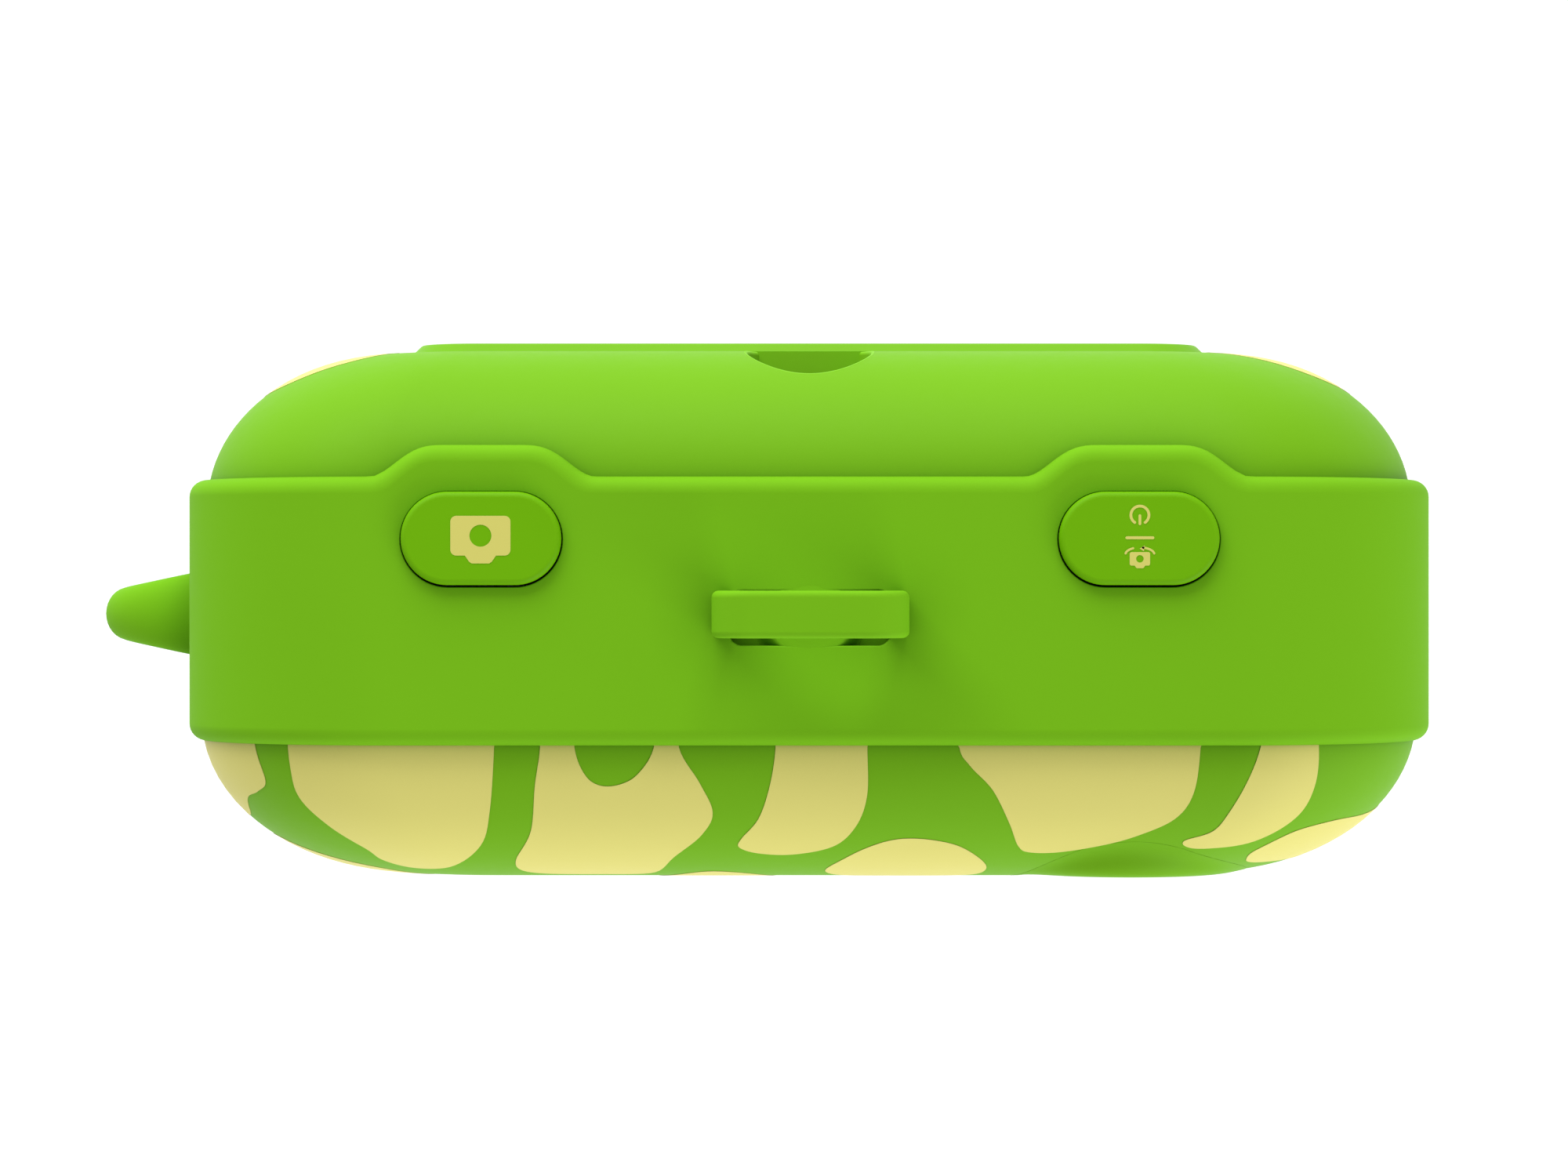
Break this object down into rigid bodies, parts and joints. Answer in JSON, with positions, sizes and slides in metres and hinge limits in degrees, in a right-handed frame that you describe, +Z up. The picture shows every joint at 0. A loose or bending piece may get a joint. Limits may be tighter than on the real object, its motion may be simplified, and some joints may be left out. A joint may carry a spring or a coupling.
{
  "type": "kids digital camera",
  "caption": "Rounded two-shell children's camera with a wide middle frame, top press buttons, strap loops, a front lens, a rear screen with a key pad and a side port flap.",
  "frame": {"origin": "centre of the middle frame's flat underside, on which the camera stands", "axes": "+Z up through the top buttons, +X to the user's left along the long side, +Y to the rear screen side; the front lens looks along -Y"},
  "size_m": [0.1224, 0.048, 0.0855],
  "materials": {
    "frame_plastic": "satin moulded green plastic",
    "shell_plastic": "satin moulded green plastic with pale yellow printed patches",
    "patch_print": "pale yellow print, satin",
    "button_plastic": "saturated green plastic, satin",
    "black_plastic": "black moulded plastic",
    "clear_window": "polished clear window",
    "lcd_glass": "dark display glass",
    "diffuser": "frosted white lamp window",
    "plated_steel": "plated sheet steel",
    "screw_steel": "zinc plated screw",
    "silicone": "soft pale silicone",
    "flap_rubber": "soft green rubber",
    "circuit_board": "green solder mask",
    "battery_foil": "foil pouch"
  },
  "bodies": {
    "camera_body": {"middle_frame": "frame_plastic", "front_shell": "shell_plastic", "rear_shell": "shell_plastic", "top_strap_loop": "frame_plastic", "side_strap_loop": "frame_plastic", "shutter_switch": "black_plastic", "power_switch": "black_plastic", "screen_bezel": "shell_plastic", "screen_window": "clear_window", "lcd_panel": "lcd_glass", "lcd_frame": "plated_steel", "key_membrane": "silicone", "key_board": "circuit_board", "lens_ring": "shell_plastic", "lens_cover": "clear_window", "lens_barrel": "black_plastic", "lens_element": "clear_window", "camera_board": "circuit_board", "selfie_lens_ring": "black_plastic", "selfie_lens_cover": "clear_window", "selfie_camera_module": "black_plastic", "flash_window": "diffuser", "flash_led_board": "circuit_board", "microphone": "plated_steel", "speaker": "black_plastic", "main_board": "circuit_board", "battery": "battery_foil", "battery_pad": "silicone", "usb_c_socket": "plated_steel", "microsd_socket": "plated_steel", "shell_screw_left": "screw_steel", "shell_screw_right": "screw_steel", "board_screw_1": "screw_steel", "board_screw_2": "screw_steel", "board_screw_3": "screw_steel", "board_screw_4": "screw_steel"},
    "shutter": {"shutter_button": "button_plastic"},
    "power": {"power_button": "button_plastic"},
    "up_key": {"key_up": "button_plastic"},
    "down_key": {"key_down": "button_plastic"},
    "left_key": {"key_left": "button_plastic"},
    "right_key": {"key_right": "button_plastic"},
    "ok_key": {"key_ok": "button_plastic"},
    "flap": {"port_flap": "flap_rubber"}
  },
  "joints": [
    {"name": "shutter_press", "type": "slide", "parent": "camera_body", "child": "shutter", "axis": [0, 0, -1], "range_m": [0, 0.0008], "stiffness_N_per_m": 1500, "springref_m": -0.0002},
    {"name": "power_press", "type": "slide", "parent": "camera_body", "child": "power", "axis": [0, 0, -1], "range_m": [0, 0.0008], "stiffness_N_per_m": 1500, "springref_m": -0.0002},
    {"name": "key_up_press", "type": "slide", "parent": "camera_body", "child": "up_key", "axis": [0, -1, 0], "range_m": [0, 0.0005], "stiffness_N_per_m": 1500, "springref_m": -0.0002},
    {"name": "key_down_press", "type": "slide", "parent": "camera_body", "child": "down_key", "axis": [0, -1, 0], "range_m": [0, 0.0005], "stiffness_N_per_m": 1500, "springref_m": -0.0002},
    {"name": "key_left_press", "type": "slide", "parent": "camera_body", "child": "left_key", "axis": [0, -1, 0], "range_m": [0, 0.0005], "stiffness_N_per_m": 1500, "springref_m": -0.0002},
    {"name": "key_right_press", "type": "slide", "parent": "camera_body", "child": "right_key", "axis": [0, -1, 0], "range_m": [0, 0.0005], "stiffness_N_per_m": 1500, "springref_m": -0.0002},
    {"name": "key_ok_press", "type": "slide", "parent": "camera_body", "child": "ok_key", "axis": [0, -1, 0], "range_m": [0, 0.0005], "stiffness_N_per_m": 1500, "springref_m": -0.0002},
    {"name": "port_flap_hinge", "type": "hinge", "parent": "camera_body", "child": "flap", "pos_m": [0.056, 0.001, 0.0263], "axis": [0, 1, 0], "range_deg": [0, 100]}
  ]
}
